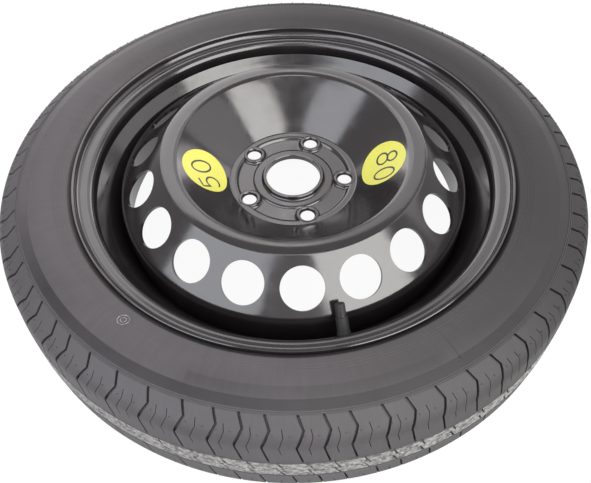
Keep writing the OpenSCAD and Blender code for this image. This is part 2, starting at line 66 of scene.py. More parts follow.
# Rim: one strip of steel, rolled to a ring, butt welded and formed, then stove-enamelled gloss black.
# Its two curled flanges hold the tyre's beads, the humps keep them on their seats, and the well lets the
# tyre be fitted.
mm = 0.001
sheet_steps = 300            # facets round a pressed or rolled ring
bend_step = 5                # degrees of bend for each facet of a rounded corner

wheel_offset = 26
rim_t = 2.6
seat_r, half_rim = 218.3, 50.8
flange_h, flange_curl_w, flange_curl_r, heel_r = 17.7, 12.2, 9.8, 6.5
hump_at, hump_h = 36.4, 1.1
well_drop, well_top, well_foot, well_bend_r = 27.8, 2, -20, 7
well_r = seat_r - well_drop
step_drop, step_at, step_bend_r = 15.3, 25, 5
step_r = seat_r - step_drop
seat_taper = math.radians(5)
lip_r = seat_r + flange_h
seat_end = hump_at + 3
half_t = rim_t / 2
seat_end_r = seat_r - half_t - (half_rim - seat_end) * math.tan(seat_taper)
hump_r = seat_end_r + hump_h


def left_of(v):
    return Vector((-v.y, v.x))


def bent(corners, step=bend_step):
    """Points with their left normals on a line through (radius, height, bend radius) corners."""
    line = []
    for i, corner in enumerate(corners):
        at = Vector(corner[:2])
        into = (at - Vector(corners[i - 1][:2])).normalized() if i else None
        out = (Vector(corners[i + 1][:2]) - at).normalized() if i + 1 < len(corners) else None
        if into is None or out is None:
            line.append((at, left_of(into or out)))
            continue
        turn = math.atan2(into.cross(out), into.dot(out))
        bend = corner[2]
        side = math.copysign(1, turn)
        start = at - into * bend * math.tan(abs(turn) / 2)
        centre = start + side * bend * left_of(into)
        n = max(1, math.ceil(abs(math.degrees(turn)) / step))
        for k in range(n + 1):
            a = turn * k / n
            normal = left_of(into)
            normal = Vector((normal.x * math.cos(a) - normal.y * math.sin(a),
                             normal.x * math.sin(a) + normal.y * math.cos(a)))
            line.append((centre - side * bend * normal, normal))
    return line


def moved(line, distance):
    """The points of a bent line, moved to its left."""
    return [at + distance * normal for at, normal in line]


def split_long(points, longest):
    """The same closed or open line of points, with long stretches cut into equal shorter ones."""
    out = [points[0]]
    for a, b in zip(points, points[1:]):
        n = max(1, math.ceil((b - a).length / longest))
        out += [a + (b - a) * k / n for k in range(1, n + 1)]
    return out


def new_object(name):
    """Leaves the operator's new object selected alone, renamed."""
    piece = bpy.context.object
    piece.name = name
    piece.data.name = name
    return piece


def pick(piece):
    """Only this object is selected and active."""
    bpy.ops.object.select_all(action="DESELECT")
    piece.select_set(True)
    bpy.context.view_layer.objects.active = piece


def drawn_line(name, points, closed=True):
    """A line of edges through (radius, height) points in millimetres, drawn on the XZ plane."""
    bpy.ops.object.select_all(action="DESELECT")
    bpy.ops.mesh.primitive_plane_add(size=mm)
    line = new_object(name)
    bpy.ops.object.mode_set(mode="EDIT")
    bpy.ops.mesh.merge(type="CENTER")
    bpy.ops.transform.translate(value=(points[0].x * mm, 0, points[0].y * mm))
    for a, b in zip(points, points[1:]):
        bpy.ops.mesh.extrude_region_move(
            TRANSFORM_OT_translate={"value": ((b.x - a.x) * mm, 0, (b.y - a.y) * mm)})
    if closed:
        bpy.ops.mesh.select_all(action="DESELECT")
        drawn = bmesh.from_edit_mesh(line.data)
        drawn.verts.ensure_lookup_table()
        for vert in drawn.verts:
            vert.select = len(vert.link_edges) < 2
        drawn.select_flush(True)
        bpy.ops.mesh.edge_face_add()
    bpy.ops.object.mode_set(mode="OBJECT")
    return line


def spun(name, points, steps=sheet_steps, closed=True, smooth=30):
    """A turned shape from a closed section."""
    piece = drawn_line(name, points, closed)
    bpy.ops.object.mode_set(mode="EDIT")
    bpy.ops.mesh.select_all(action="SELECT")
    bpy.ops.mesh.spin(steps=steps, angle=2 * math.pi, center=(0, 0, 0), axis=(0, 0, 1))
    bpy.ops.mesh.select_all(action="SELECT")
    bpy.ops.mesh.remove_doubles(threshold=0.00001)
    bpy.ops.mesh.normals_make_consistent(inside=False)
    bpy.ops.object.mode_set(mode="OBJECT")
    bpy.ops.object.shade_smooth_by_angle(angle=math.radians(smooth))
    return piece


def joined(name, pieces):
    """Several objects made one."""
    bpy.ops.object.select_all(action="DESELECT")
    for piece in pieces:
        piece.select_set(True)
    bpy.context.view_layer.objects.active = pieces[0]
    if len(pieces) > 1:
        bpy.ops.object.join()
    whole = bpy.context.object
    whole.name = name
    return whole


def placed(piece, matrix):
    """Moves the mesh itself, so that the object stays at the origin."""
    piece.data.transform(matrix)
    return piece


def copied(piece, matrix):
    """A copy with its own mesh, moved by a matrix."""
    twin = piece.copy()
    twin.data = piece.data.copy()
    bpy.context.collection.objects.link(twin)
    twin.data.transform(matrix)
    return twin


def cut(piece, tool, how="DIFFERENCE", smooth=30):
    """Cuts a tool out of a piece, or welds it on, and clears the tool away."""
    pick(piece)
    modifier = piece.modifiers.new(how.lower(), "BOOLEAN")
    modifier.operation = how
    modifier.solver = "MANIFOLD"
    modifier.object = tool
    bpy.ops.object.modifier_apply(modifier=modifier.name)
    bpy.data.objects.remove(tool)
    bpy.ops.object.shade_smooth_by_angle(angle=math.radians(smooth))
    return piece


def flange(side):
    return [(lip_r - half_t, side * (half_rim + flange_curl_w), 0),
            (lip_r - half_t, side * (half_rim + half_t), flange_curl_r - half_t),
            (seat_r - half_t, side * (half_rim + half_t), heel_r + half_t),
            (seat_end_r, side * seat_end, 2),
            (hump_r, side * hump_at, 2.5)]


rim_line = bent(flange(1)
                + [(step_r + half_t, step_at, step_bend_r),
                   (well_r + half_t, well_top, well_bend_r),
                   (well_r + half_t, well_foot, well_bend_r)]
                + flange(-1)[::-1])


def sheet_outline(line, above, below, edge=0.6):
    """The closed outline of a sheet along a bent line, with its two free edges eased."""
    top, bottom = moved(line, above), moved(line, below)
    for points in (top, bottom):
        points[0] = points[0] + (points[1] - points[0]).normalized() * edge
        points[-1] = points[-1] + (points[-2] - points[-1]).normalized() * edge
    start, normal = line[0]
    end, end_normal = line[-1]
    middle = (above + below) / 2
    half = (above - below) / 2 - edge
    head = [start + normal * (middle + half), start + normal * (middle - half)]
    tail = [end + end_normal * (middle - half), end + end_normal * (middle + half)]
    return top[::-1] + head + bottom + tail


rim = spun("wheel_rim", [p + Vector((0, -wheel_offset))
                         for p in split_long(sheet_outline(rim_line, half_t, -half_t), 12)])

# the hole for the valve, square on the outboard step and a little way down from its middle
valve_angle, valve_shift, valve_hole_r, drill_depth = math.radians(-77.5), 0.8, 5.75, 12
step_top, step_end = Vector((hump_r, hump_at)), Vector((step_r + half_t, step_at))
step_dir = (step_end - step_top).normalized()
step_face = -left_of(step_dir)
valve_tilt = math.atan2(-step_face.x, step_face.y)
valve_at = (step_top + step_end) / 2 + step_dir * valve_shift + step_face * half_t
on_valve = (Matrix.Rotation(valve_angle, 4, "Z")
            @ Matrix.Translation(Vector((valve_at.x, 0, valve_at.y - wheel_offset)) * mm)
            @ Matrix.Rotation(-valve_tilt, 4, "Y"))
bpy.ops.object.select_all(action="DESELECT")
bpy.ops.mesh.primitive_cylinder_add(vertices=48, radius=valve_hole_r * mm, depth=drill_depth * mm)
cut(rim, placed(new_object("valve_drill"), on_valve))


def node_graph(name):
    """A new material's nodes, with its shader."""
    material = bpy.data.materials.new(name)
    material.use_nodes = True
    tree = material.node_tree
    return material, tree, tree.nodes["Principled BSDF"]


def add(tree, kind, inputs=None, **settings):
    """A node with its settings, and its inputs linked or set."""
    node = tree.nodes.new(kind)
    for key, value in settings.items():
        setattr(node, key, value)
    for key, value in (inputs or {}).items():
        if isinstance(value, bpy.types.NodeSocket):
            tree.links.new(value, node.inputs[key])
        else:
            node.inputs[key].default_value = value
    return node


def noise(tree, scale, detail=3, vector=None, roughness=0.5):
    """Noise on the object's own coordinates, or on another vector."""
    if vector is None:
        vector = add(tree, "ShaderNodeTexCoord").outputs["Object"]
    return add(tree, "ShaderNodeTexNoise",
               {"Vector": vector, "Scale": scale, "Detail": detail, "Roughness": roughness}).outputs["Fac"]


def ranged(tree, value, low, high, to_low=0.0, to_high=1.0):
    """A value stretched from one range to another and clamped."""
    return add(tree, "ShaderNodeMapRange", {"Value": value, "From Min": low, "From Max": high,
                                            "To Min": to_low, "To Max": to_high}).outputs["Result"]


def mixed(tree, factor, a, b):
    """Two colours mixed by a factor."""
    node = add(tree, "ShaderNodeMix", data_type="RGBA")
    for socket, value in ((node.inputs[0], factor), (node.inputs[6], a), (node.inputs[7], b)):
        if isinstance(value, bpy.types.NodeSocket):
            tree.links.new(value, socket)
        else:
            socket.default_value = value
    return node.outputs[2]


def bumped(tree, shader, height, distance, strength=1.0, under=None):
    """A height joined to the shader's normal."""
    inputs = {"Height": height, "Distance": distance, "Strength": strength}
    if under:
        inputs["Normal"] = under
    normal = add(tree, "ShaderNodeBump", inputs).outputs["Normal"]
    tree.links.new(normal, shader.inputs["Normal"])
    return normal


def stoved_paint():
    """Gloss black enamel with a slight orange peel, fine scuffs and a trace of dust."""
    material, tree, shader = node_graph("stoved_black_paint")
    cloud = noise(tree, 22, 4)
    dust = ranged(tree, cloud, 0.52, 0.74)
    tree.links.new(mixed(tree, dust, (0.0105, 0.0090, 0.0098, 1), (0.016, 0.0142, 0.0148, 1)),
                   shader.inputs["Base Color"])
    tree.links.new(ranged(tree, noise(tree, 60, 5), 0.35, 0.75, 0.11, 0.20), shader.inputs["Roughness"])
    shader.inputs["IOR"].default_value = 1.7
    bumped(tree, shader, noise(tree, 420, 2), 0.00002, 0.3)
    return material


def coated(piece, material):
    """The piece has this material alone."""
    piece.data.materials.clear()
    piece.data.materials.append(material)
    return piece


black_paint = stoved_paint()
coated(rim, black_paint)
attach(rim, "wheel")
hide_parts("rim")


# Disc: pressed from one steel blank. A collar stands round the bore, five raised seats take the wheel
# nuts, a ring closes the hub's dish, and a high crest between two creases carries eighteen round vents on
# its outer slope.
disc_t = 3.5
disc_r = well_r - 0.05
bore_r, bore_low, collar_z, collar_t = 30.05, 3.9, 10, 3.5
collar_r = bore_r + collar_t
land_z, land_r, pad_in_r, pad_out_r = 5, 43, 45, 61
ring_z = 6.5
ring_in_r = pad_out_r + 2.5
ring_w, disc_low, foot_bend_r = 6.84, -42, 12
cone_foot_r = ring_in_r + ring_w
cone_slope, vent_slope = math.radians(39.3), math.radians(40)
cone_rise, vent_fall = math.tan(cone_slope), math.tan(vent_slope)
vent_inset, vent_z, vent_d, vent_count, vent_angle = 24.65, 30, 43, 18, -7.6
vent_ring_r = disc_r - vent_inset
crest_z, dome_slope, tight_bend_r, crest_in_bend_r = 50.3, math.radians(12), disc_t + 0.5, 9
crease_in_r = cone_foot_r + (crest_z - ring_z) / cone_rise
crease_out_r = vent_ring_r + (vent_z - crest_z) / vent_fall
half_dome = (crease_out_r - crease_in_r) / 2
crease_reach = crest_in_bend_r * math.tan((cone_slope - dome_slope) / 2)
dome_r = (half_dome / math.cos(dome_slope) - crease_reach) / math.tan(dome_slope)
disc_line = bent([
    (collar_r, collar_z, 0),
    (collar_r, land_z, 3),
    (land_r, land_z, tight_bend_r),
    (pad_in_r, disc_t, 1.5),
    (pad_out_r, disc_t, 1.5),
    (ring_in_r, ring_z, 4.2),
    (cone_foot_r, ring_z, 3),
    (crease_in_r, crest_z, crest_in_bend_r),
    (crease_in_r + half_dome, crest_z + half_dome * math.tan(dome_slope), dome_r),
    (crease_out_r, crest_z, tight_bend_r),
    (disc_r, vent_z - vent_inset * vent_fall, foot_bend_r),
    (disc_r, disc_low, 0),
], 4)
outboard = moved(disc_line, 0)
inboard = [p for p in moved(disc_line, -disc_t) if p.x > collar_r + 3]
edge = 0.6
outboard[0] = outboard[0] - Vector((0, edge))
collar_low = land_z - disc_t


def section(*pairs):
    """Points of a section from (radius, height) pairs."""
    return [Vector(pair) for pair in pairs]


disc_outline = (section((collar_r - edge, collar_z)) + outboard[:-1]
                + section((disc_r, disc_low + edge), (disc_r - edge, disc_low),
                          (disc_r - disc_t + edge, disc_low), (disc_r - disc_t, disc_low + edge))
                + inboard[::-1][1:]
                + section((bore_r + bore_low - collar_low, collar_low), (bore_r, bore_low),
                          (bore_r, collar_z - edge), (bore_r + edge, collar_z)))
disc = spun("wheel_disc", split_long(disc_outline, 9))

# a nut seat is drawn up out of the pad, so its foot flares into the sheet
bolt_ring_r, bolt_count, bolt_angle = 57.15, 5, -3.2
boss_r, boss_z, bolt_r = 12.25, 7, 7.5
boss_line = section((0, 2.6), (boss_r + 3.2, 2.6), (boss_r + 2.6, 3.45), (boss_r + 1.3, 3.9),
                    (boss_r + 0.4, 4.8), (boss_r - 0.1, 6.0), (boss_r - 0.5, 6.6),
                    (boss_r - 1.2, 6.95), (boss_r - 1.6, boss_z), (0, boss_z))
bolt_line = section((0, -2), (boss_r - 1, -2), (boss_r - 2.6, 3.0), (boss_r - 3.4, 3.5),
                    (bolt_r, 3.5), (bolt_r, 4.6), (bolt_r + 1.2, 6.7), (bolt_r + 2.2, 7.4),
                    (bolt_r + 2.2, 9), (0, 9))
seat = spun("nut_seat", boss_line, 64)
drill = spun("nut_drill", bolt_line, 64)
turns = [Matrix.Rotation(math.radians(bolt_angle + 360 / bolt_count * i), 4, "Z")
         @ Matrix.Translation((bolt_ring_r * mm, 0, 0)) for i in range(bolt_count)]
cut(disc, joined("nut_seats", [copied(seat, turn) for turn in turns]), "UNION")
cut(disc, joined("nut_drills", [copied(drill, turn) for turn in turns]))
bpy.data.objects.remove(seat)
bpy.data.objects.remove(drill)

bpy.ops.object.select_all(action="DESELECT")
bpy.ops.mesh.primitive_cylinder_add(vertices=72, radius=vent_d / 2 * mm, depth=24 * mm)
punch = new_object("vent_punch")
turns = [Matrix.Rotation(math.radians(vent_angle + 360 * i / vent_count), 4, "Z")
         @ Matrix.Translation((vent_ring_r * mm, 0, vent_z * mm))
         @ Matrix.Rotation(vent_slope, 4, "Y") for i in range(vent_count)]
cut(disc, joined("vent_punches", [copied(punch, turn) for turn in turns]))
bpy.data.objects.remove(punch)
coated(disc, black_paint)
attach(disc, "wheel")
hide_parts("disc")


# Weld beads: six arc welds on the inboard side join the disc's edge to the rim's well, painted over.
# Each keeps the ripples of the weld pool.
def weld_paint():
    material, tree, shader = node_graph("painted_weld")
    cloud = noise(tree, 90, 3)
    tree.links.new(mixed(tree, cloud, (0.011, 0.0105, 0.0105, 1), (0.014, 0.0134, 0.0134, 1)),
                   shader.inputs["Base Color"])
    tree.links.new(ranged(tree, cloud, 0.3, 0.7, 0.3, 0.5), shader.inputs["Roughness"])
    bumped(tree, shader, noise(tree, 500, 2), 0.0004, 0.6)
    return material


coated(nodes["disc_welds"], weld_paint())


# Tyre: one vulcanised moulding with a flat crown, two main grooves, zigzag side grooves, fine sipes and a
# double line round each shoulder. It sits on the bead seats against the flanges.
tyre_r, half_tyre, half_shoulder = 316.5, 65.3, 61
tyre_steps = 216             # facets round the moulding
wall_rise = 22.5
shoulder_r = tyre_r - wall_rise
wide_r = (seat_r + tyre_r) / 2
bead_gap = 0.1
bead_in_r = seat_end_r + half_t + bead_gap
toe_at = seat_end + 0.3
curl_exit = flange_curl_r + bead_gap
curl_corner_r = lip_r - flange_curl_r + curl_exit * math.tan(math.radians(22.5))
crown_drop, crown_half, edge_at = 2.2, 12, half_shoulder - 13
clear_rise, clear_w, clear_bend_r = 4.6, 9.9, 1.5      # where the wall comes clear of the flange
wide_half, wall_bend_r, shoulder_bend_r, edge_bend_r, crown_bend_r = 6, 50, 3, 18, 200
wall_t, crown_t = 6.5, 10.5
tread_foot = tyre_r - 6                # points of the section further out than this are on the tread


def outside(side):
    """Corners of the tyre's outer surface, from one bead's toe to the crown."""
    return [(bead_in_r, side * toe_at, 0),
            (seat_r + bead_gap, side * (half_rim - bead_gap), heel_r),
            (curl_corner_r, side * (half_rim - bead_gap), curl_exit),
            (lip_r + clear_rise, side * (half_rim + clear_w), clear_bend_r),
            (wide_r - wide_half, side * half_tyre, wall_bend_r),
            (wide_r + wide_half, side * half_tyre, wall_bend_r),
            (shoulder_r, side * half_shoulder, shoulder_bend_r),
            (tyre_r - crown_drop, side * edge_at, edge_bend_r),
            (tyre_r, side * crown_half, crown_bend_r)]


tyre_line = bent(outside(1) + outside(-1)[::-1], 6)


def liner(side):
    """Corners of the tyre's inner surface on one side."""
    return [(bead_in_r + 1, side * toe_at, 0), (lip_r - 4, side * (toe_at + 2), 12),
            (wide_r - 4, side * (half_tyre - wall_t), 30),
            (tyre_r - crown_t - crown_drop, side * edge_at, 22)]


liner_line = bent(liner(1) + liner(-1)[::-1], 12)


def surface(line):
    """The tyre's outboard surface as (way along it from the shoulder, point, outward normal)."""
    points = moved(line, 0)
    normals = [normal for _, normal in line]
    start = min(range(len(points) // 2),
                key=lambda i: abs(points[i].x - shoulder_r) + abs(points[i].y - half_shoulder))
    way, out = 0.0, []
    for i in range(start, len(points) // 2 + 3):
        if i > start:
            way += (points[i] - points[i - 1]).length
        out.append((way, points[i], normals[i]))
    return out


def on_surface(table, way):
    """Point and normal at a way along the surface; past its start the first stretch is carried on."""
    pairs = list(zip(table, table[1:]))
    a, b = next(((a, b) for a, b in pairs if way <= b[0]), pairs[-1])
    k = (way - a[0]) / (b[0] - a[0])
    return a[1] + (b[1] - a[1]) * k, (a[2] + (b[2] - a[2]) * k).normalized()


outer = split_long(moved(tyre_line, 0), 7)


def notched(points, at, width, depth):
    """Cuts a groove that runs round the tread into the section."""
    top = min((p for p in points if p.x > tread_foot), key=lambda p: abs(p.y - at)).x
    kept = [p for p in points if not (p.x > tread_foot and abs(p.y - at) < width / 2 + 0.6)]
    index = next(i for i, p in enumerate(kept) if p.x > tread_foot and p.y < at)
    half = width / 2
    trough = section((top, at + half + 0.25), (top - 0.3, at + half), (top - depth, at + half - 0.4),
                     (top - depth, at - half + 0.4), (top - 0.3, at - half), (top, at - half - 0.25))
    return kept[:index] + trough + kept[index:]


# across, width and depth of the grooves that run round: two main ones and a fine one between them
for at, width, depth in ((15, 3.2, 4.2), (0, 1.2, 1.8), (-15, 3.2, 4.2)):
    outer = notched(outer, at, width, depth)

wall_line = [(at, normal) for at, normal in tyre_line if at.y > half_shoulder - 1 and at.x < shoulder_r]


def on_wall(radius):
    """Point and normal on the outboard sidewall at a radius."""
    pairs = list(zip(wall_line, wall_line[1:]))
    a, b = next(((a, b) for a, b in pairs if radius <= b[0].x), pairs[-1])
    k = (radius - a[0].x) / (b[0].x - a[0].x)
    return a[0] + (b[0] - a[0]) * k, (a[1] + (b[1] - a[1]) * k).normalized()


def on_band(p, side, low, high):
    """Whether a point of the section lies on one sidewall, between two radii."""
    return p.y * side > half_shoulder - 3 and low < p.x < high


def ringed(points, at, width, height, ease=0.2):
    """Draws a raised ring, or a sunk one, into both sidewalls of the section."""
    low, high = at - width / 2 - ease, at + width / 2 + ease
    rise = [(low, 0), (at - width / 2, height), (at + width / 2, height), (high, 0)]
    ring = [on_wall(radius)[0] + on_wall(radius)[1] * lift for radius, lift in rise]
    mirrored = [Vector((p.x, -p.y)) for p in ring[::-1]]
    for side, drawn, first, last in ((1, ring, low, math.inf), (-1, mirrored, 0, high)):
        index = next(i for i, p in enumerate(points) if on_band(p, side, first, last))
        points = ([p for p in points[:index] if not on_band(p, side, low, high)] + drawn
                  + [p for p in points[index:] if not on_band(p, side, low, high)])
    return points


# three fine lines by the bead, a smooth sunk band, and a double line at the shoulder
smooth_band, band_sunk = (280.2, 289.2), 0.25
fine_lines, fine_w, fine_h = (248, 251, 254), 0.4, 0.15
shoulder_lines, line_w, line_h = (290.4, 292.0), 0.5, 0.6
for at in fine_lines:
    outer = ringed(outer, at, fine_w, fine_h)
outer = ringed(outer, sum(smooth_band) / 2, smooth_band[1] - smooth_band[0], -band_sunk)
for at in shoulder_lines:
    outer = ringed(outer, at, line_w, line_h)
tyre_outline = outer + moved(liner_line, 0)[::-1]
tyre = spun("tyre_moulding", [p + Vector((0, -wheel_offset)) for p in tyre_outline], tyre_steps, smooth=35)

tread_table = surface(tyre_line)
arc_r = 316                  # the radius at which a way round the tread is measured


def stepped(stations, longest):
    """A line through flat stations, cut into short stretches."""
    return split_long([Vector(station) for station in stations], longest)


foot_share = 0.8             # a bar's width at its foot, as a share of its width at the top


def bar(name, way, width, low, high, closed=False):
    """A bar along a flat line of points, from one height to another and a little narrower below."""
    bpy.ops.object.select_all(action="DESELECT")
    bpy.ops.mesh.primitive_plane_add(size=1, rotation=(math.pi / 2, 0, 0))
    piece = new_object(name)
    bpy.ops.object.transform_apply(location=False, rotation=True, scale=False)
    bpy.ops.object.mode_set(mode="EDIT")
    bpy.ops.mesh.select_all(action="SELECT")
    for _ in way[1:]:
        bpy.ops.mesh.extrude_region_move(TRANSFORM_OT_translate={"value": (0, 1, 0)})
    last = len(way) - 1
    if closed:
        bpy.ops.mesh.select_all(action="DESELECT")
        drawn = bmesh.from_edit_mesh(piece.data)
        for face in drawn.faces:
            stops = {round(vert.co.y) for vert in face.verts}
            if len(stops) == 1 and stops <= {0, last}:
                face.select_set(True)
        bpy.ops.mesh.delete(type="FACE")
    bpy.ops.object.mode_set(mode="OBJECT")
    for vert in piece.data.vertices:
        k = round(vert.co.y)
        before, after = max(k - 1, 0), min(k + 1, last)
        if closed and k in (0, last):
            before, after = last - 1, 1
        ahead = (way[after] - way[before]).normalized()
        top = vert.co.z > 0
        spot = way[k] + left_of(ahead) * math.copysign(width / 2, vert.co.x) * (1 if top else foot_share)
        vert.co = Vector((spot.x, spot.y, high if top else low))
    return piece


def wrapped(piece, onto):
    """Lays a flat bar onto a curved surface, in metres, with its seam closed."""
    for vert in piece.data.vertices:
        vert.co = onto(vert.co) * mm
    pick(piece)
    bpy.ops.object.mode_set(mode="EDIT")
    bpy.ops.mesh.select_all(action="SELECT")
    bpy.ops.mesh.remove_doubles(threshold=0.000005)
    bpy.ops.mesh.normals_make_consistent(inside=False)
    bpy.ops.object.mode_set(mode="OBJECT")
    return piece


def onto_tread(co):
    """From (round, across, up) to the tread at the near side."""
    point, normal = on_surface(tread_table, co.y)
    point = point + normal * co.z
    angle = co.x / arc_r
    return Vector((point.x * math.sin(angle), -point.x * math.cos(angle), point.y))


def onto_wall(co):
    """From (round, radius, up) to the outboard sidewall at the near side."""
    point, normal = on_wall(co.y)
    point = point + normal * co.z
    angle = co.x / co.y
    return Vector((point.x * math.sin(angle), -point.x * math.cos(angle), point.y))


# the tread's pitches are short, middling and long in a mixed run, so that they don't hum; the first one
# starts at the given angle from the near side
pitch_degrees = {"S": 4.2, "M": 5.3, "L": 6.25}
pitch_run = "LLMSSMSSMSMLMLL" * 4 + "SMSLSMSML"
pitch_scale = 360 / sum(pitch_degrees[letter] for letter in pitch_run)
first_pitch = -31.55
pitches, pitch_start = [], first_pitch
for letter in pitch_run:
    pitches.append((letter, pitch_start, pitch_degrees[letter] * pitch_scale))
    pitch_start += pitches[-1][2]
lowered = Matrix.Translation((0, 0, -wheel_offset * mm))
turned_over = Matrix.Rotation(math.pi, 4, "Y")


def round_tread(name, piece, places):
    """Copies of a piece of tread at angles in degrees, on both shoulders."""
    copies = [copied(piece, lowered @ Matrix.Rotation(math.radians(at), 4, "Z") @ flip)
              for flip in (Matrix.Identity(4), turned_over) for at in places]
    bpy.data.objects.remove(piece)
    return joined(name, copies)


groove_step, groove_over = 5, 1.6


def groove(name, stations, width, depth):
    """A cutter for one groove through (round, across) stations, that stands out of the tread."""
    return wrapped(bar(name, stepped(stations, groove_step), width, -depth, groove_over), onto_tread)


starts = [start for _, start, _ in pitches]
halves = [start + size / 2 for _, start, size in pitches]
sipe_shares = {"S": (0.46,), "M": (0.5,), "L": (0.36, 0.66)}
sipe_places = [start + size * share for letter, start, size in pitches for share in sipe_shares[letter]]
side_groove = groove("side_groove", [(0.7, -1.6), (0.7, -0.4), (5.5, 11.6), (-0.6, 27.4)], 2.8, 3.2)
crown_groove = groove("crown_groove", [(-0.9, 26.2), (4.8, 53.6)], 2.0, 3.4)
middle_groove = groove("middle_groove", [(-3, 57.5), (3, 71.5)], 2.0, 2.6)
sipe = groove("sipe", [(1.2, 10.1), (2.6, 17.1), (-0.9, 28.1), (1.2, 39.1)], 0.65, 2.4)
for name, tool, places in (("side_grooves", side_groove, starts), ("crown_grooves", crown_groove, starts),
                           ("middle_grooves", middle_groove, halves), ("sipes", sipe, sipe_places)):
    cut(tyre, round_tread(name, tool, places), smooth=35)

# the stubs of rubber that the mould's vents leave on the blocks
stub_r, stub_h, stub_across, stub_shares = 0.55, 1.9, 16, (0.28, 0.8)
bpy.ops.object.select_all(action="DESELECT")
bpy.ops.mesh.primitive_cylinder_add(vertices=10, radius=stub_r, depth=stub_h)
stub = new_object("vent_stub")
stub.data.transform(Matrix.Translation((0, stub_across, 0)))
wrapped(stub, onto_tread)
stub_places = [start + size * share for _, start, size in pitches for share in stub_shares]
cut(tyre, round_tread("vent_stubs", stub, stub_places), "UNION", smooth=35)

# a thin line across the sidewall
radial_in_r, radial_out_r, radial_w, radial_h, radial_angle = 246, 282, 0.5, 0.2, math.radians(30)
radial_mark = wrapped(bar("radial_mark", stepped([(0, radial_in_r), (0, radial_out_r)], 4),
                          radial_w, -0.5, radial_h), onto_wall)
cut(tyre, placed(radial_mark, lowered @ Matrix.Rotation(radial_angle, 4, "Z")), "UNION", smooth=35)


def maths(tree, how, *values):
    """A math node's result."""
    return add(tree, "ShaderNodeMath", dict(enumerate(values)), operation=how).outputs[0]


def between(tree, value, low, high, soft):
    """One between two limits and nothing outside, with soft edges."""
    return maths(tree, "MULTIPLY", ranged(tree, value, low - soft, low + soft),
                 ranged(tree, value, high - soft, high + soft, 1.0, 0.0))


def tyre_rubber():
    """Dark grey rubber with fine radial streaks, dust in patches and on the crown, a painted sheen lighter on
    the left and near side, and a smooth dark band.
    """
    material, tree, shader = node_graph("tyre_rubber")
    place = add(tree, "ShaderNodeTexCoord").outputs["Object"]
    xyz = add(tree, "ShaderNodeSeparateXYZ", {"Vector": place})
    x, y, z = (xyz.outputs[k] for k in "XYZ")
    angle = maths(tree, "ARCTAN2", x, maths(tree, "MULTIPLY", y, -1.0))
    radius = maths(tree, "SQRT", maths(tree, "MULTIPLY_ADD", y, y, maths(tree, "MULTIPLY", x, x)))
    polar = add(tree, "ShaderNodeCombineXYZ", {"X": angle, "Y": radius, "Z": z}).outputs[0]
    stretched = add(tree, "ShaderNodeVectorMath", {0: polar, 1: (60, 30, 30)},
                    operation="MULTIPLY").outputs[0]
    streaks = noise(tree, 1.0, 4, stretched, 0.6)
    patches = noise(tree, 9, 4, place, 0.6)
    tone = ranged(tree, maths(tree, "MULTIPLY_ADD", streaks, 0.55, patches), 0.5, 1.0)
    rubber = mixed(tree, tone, (0.0065, 0.0058, 0.0065, 1), (0.0115, 0.0102, 0.0112, 1))
    # the paler rubber is dust in patches, and also the lit end of the painted sheen below
    dust_and_sheen = mixed(tree, tone, (0.034, 0.031, 0.034, 1), (0.050, 0.046, 0.049, 1))
    # painted sheen: the rubber is painted lighter toward the left and near side and darker toward the far
    # right, standing in for the rubber's sheen under the lamps
    sheen_reach, sheen_left, sheen_near = 0.28, 0.9, 0.45
    toward = maths(tree, "MULTIPLY_ADD", x, -sheen_left / sheen_reach,
                   maths(tree, "MULTIPLY", y, -sheen_near / sheen_reach))
    shade = mixed(tree, ranged(tree, toward, -0.65, 0.5), rubber, dust_and_sheen)
    # a panel on the near side is wiped cleaner, and so is the sunk band, apart from its left part
    panel_low, panel_high, panel_from, panel_to = 0.269, 0.2797, math.radians(-20), math.radians(27)
    panel = maths(tree, "MULTIPLY", between(tree, radius, panel_low, panel_high, 0.0004),
                  between(tree, angle, panel_from, panel_to, 0.01))
    shade = mixed(tree, maths(tree, "MULTIPLY", panel, 0.3), shade, rubber)
    band = between(tree, radius, smooth_band[0] * mm, smooth_band[1] * mm, 0.0002)
    wiped = between(tree, angle, math.radians(-66), math.radians(150), 0.2)
    shade = mixed(tree, maths(tree, "MULTIPLY", maths(tree, "MULTIPLY", band, wiped), 0.85), shade, rubber)
    # the double line at the shoulder is rubbed pale
    lines = maths(tree, "MAXIMUM", between(tree, radius, 0.29005, 0.29075, 0.0001),
                  between(tree, radius, 0.29165, 0.29235, 0.0001))
    shade = mixed(tree, maths(tree, "MULTIPLY", lines, 0.5), shade, (0.075, 0.071, 0.075, 1))
    # the crown keeps pale road dust
    across = maths(tree, "ABSOLUTE", maths(tree, "ADD", z, wheel_offset * mm))
    crown = maths(tree, "MULTIPLY", ranged(tree, across, 0.0135, 0.0125),
                  ranged(tree, radius, 0.3135, 0.3145))
    speck = ranged(tree, noise(tree, 260, 4, place, 0.7), 0.40, 0.60)
    shade = mixed(tree, maths(tree, "MULTIPLY", crown, speck), shade, (0.24, 0.243, 0.23, 1))
    tree.links.new(shade, shader.inputs["Base Color"])
    rough = ranged(tree, patches, 0.3, 0.7, 0.50, 0.66)
    rough = maths(tree, "SUBTRACT", rough, maths(tree, "MULTIPLY", band, 0.14))
    tree.links.new(rough, shader.inputs["Roughness"])
    fine = bumped(tree, shader, noise(tree, 900, 2, place), 0.0002, 0.35)
    bumped(tree, shader, streaks, 0.0004, 0.3, fine)
    return material


coated(tyre, tyre_rubber())
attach(tyre, "wheel")
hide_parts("tyre")


# Ring mark: two small rings, one in the other, moulded proud of the tyre's outboard sidewall. Their tops
# are rubbed pale.
def circle_way(radius_x, radius_y, centre=(0, 0), steps=32):
    """Points once round an ellipse, the first one again at the end."""
    return [Vector((centre[0] + radius_x * math.cos(2 * math.pi * k / steps),
                    centre[1] + radius_y * math.sin(2 * math.pi * k / steps))) for k in range(steps + 1)]


